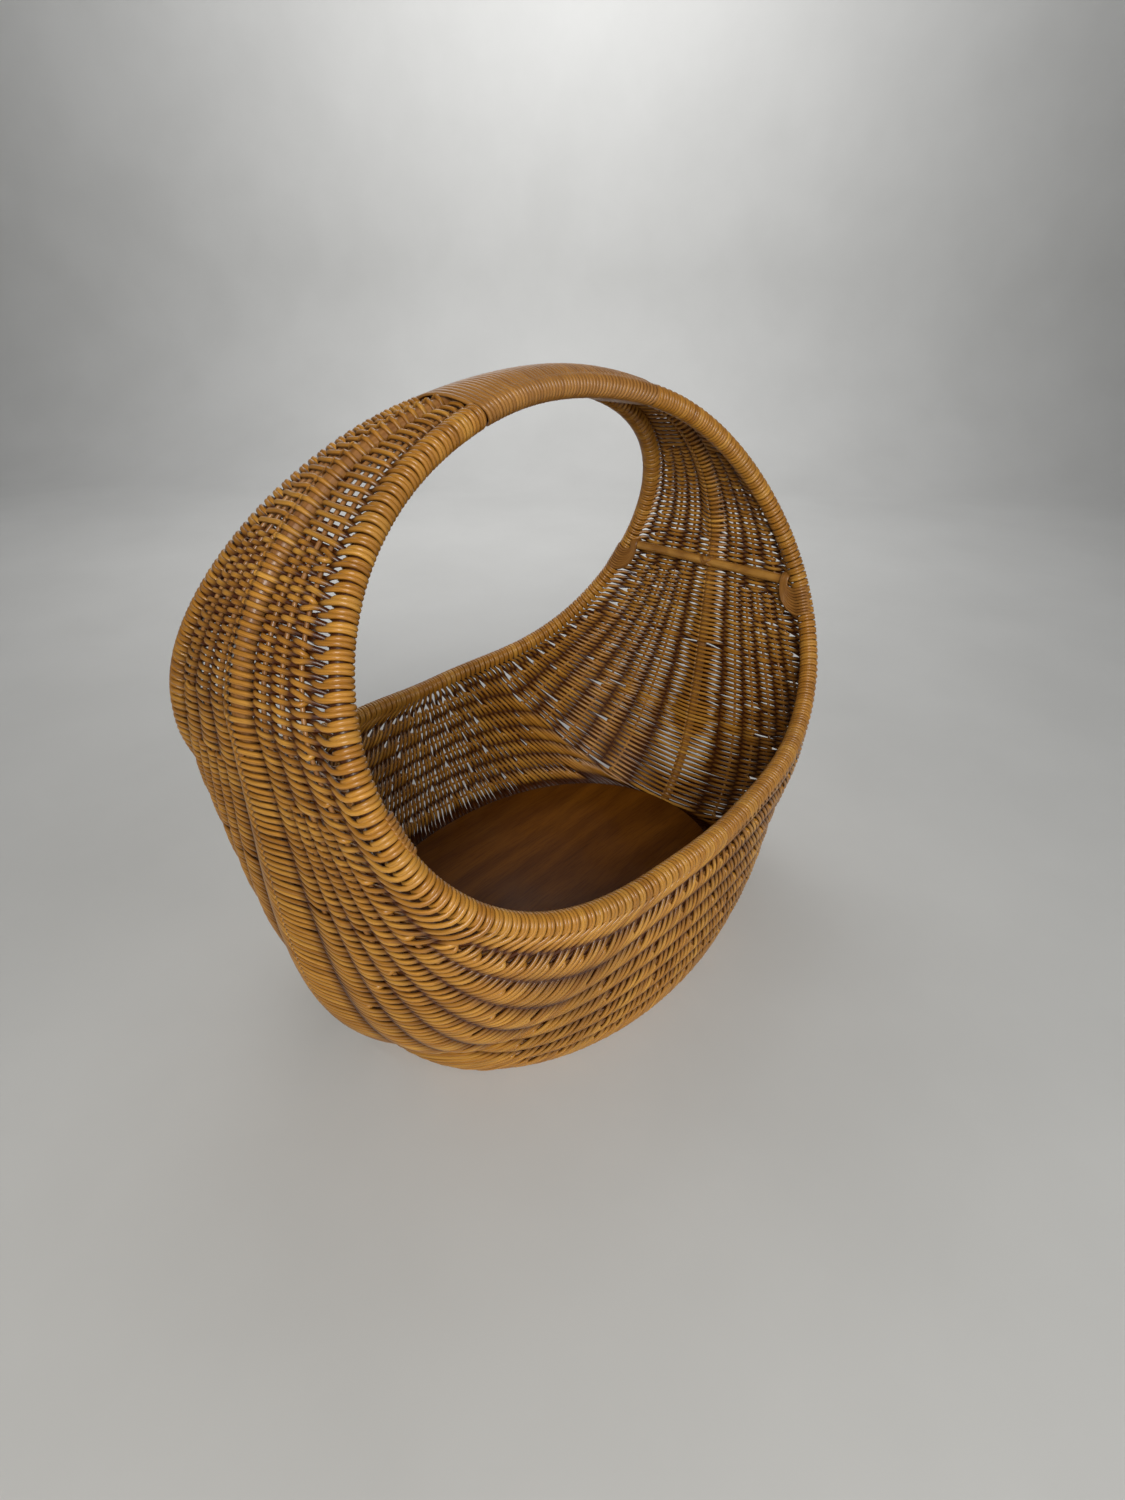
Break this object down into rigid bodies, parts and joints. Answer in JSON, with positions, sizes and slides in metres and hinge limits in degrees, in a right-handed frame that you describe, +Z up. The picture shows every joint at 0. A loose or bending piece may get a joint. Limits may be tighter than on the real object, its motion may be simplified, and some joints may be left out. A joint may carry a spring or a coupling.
{
  "type": "wicker pet basket",
  "caption": "Wicker pet bed basket with two bent rim hoops meeting in a tall arched handle, woven end shells, low front and back walls and a flat floor board.",
  "frame": {"origin": "on the ground under the middle of the basket", "axes": "+X from the left end to the right end, along the handle; +Y from the front opening to the back opening; +Z up"},
  "size_m": [0.6844, 0.4754, 0.6185],
  "materials": {
    "cane_weave": "varnished willow or cane weavers, satin gloss",
    "wrapped_cane": "cane wound close on the poles, satin gloss",
    "rib_pole": "varnished rattan poles",
    "bare_pole": "bare glossy rattan pole",
    "board": "stained and varnished plywood, worn satin"
  },
  "bodies": {
    "root": {"front_rim_hoop": "wrapped_cane", "back_rim_hoop": "wrapped_cane", "centre_keel_pole": "rib_pole", "front_main_rib_1": "rib_pole", "front_main_rib_2": "rib_pole", "front_main_rib_3": "rib_pole", "front_filler_rib_1": "rib_pole", "front_filler_rib_2": "rib_pole", "front_filler_rib_3": "rib_pole", "front_filler_rib_4": "rib_pole", "back_main_rib_1": "rib_pole", "back_main_rib_2": "rib_pole", "back_main_rib_3": "rib_pole", "back_filler_rib_1": "rib_pole", "back_filler_rib_2": "rib_pole", "back_filler_rib_3": "rib_pole", "back_filler_rib_4": "rib_pole", "base_ring": "rib_pole", "right_end_front_weave": "cane_weave", "left_end_front_weave": "cane_weave", "front_wall_weave": "cane_weave", "right_end_back_weave": "cane_weave", "left_end_back_weave": "cane_weave", "back_wall_weave": "cane_weave", "handle_wrap": "wrapped_cane", "base_weave": "cane_weave", "floor_board": "board", "left_crossbar": "bare_pole", "left_crossbar_front_lashing": "wrapped_cane", "left_crossbar_back_lashing": "wrapped_cane", "left_crossbar_middle_tie": "wrapped_cane", "right_crossbar": "bare_pole", "right_crossbar_front_lashing": "wrapped_cane", "right_crossbar_back_lashing": "wrapped_cane", "right_crossbar_middle_tie": "wrapped_cane"}
  },
  "joints": []
}
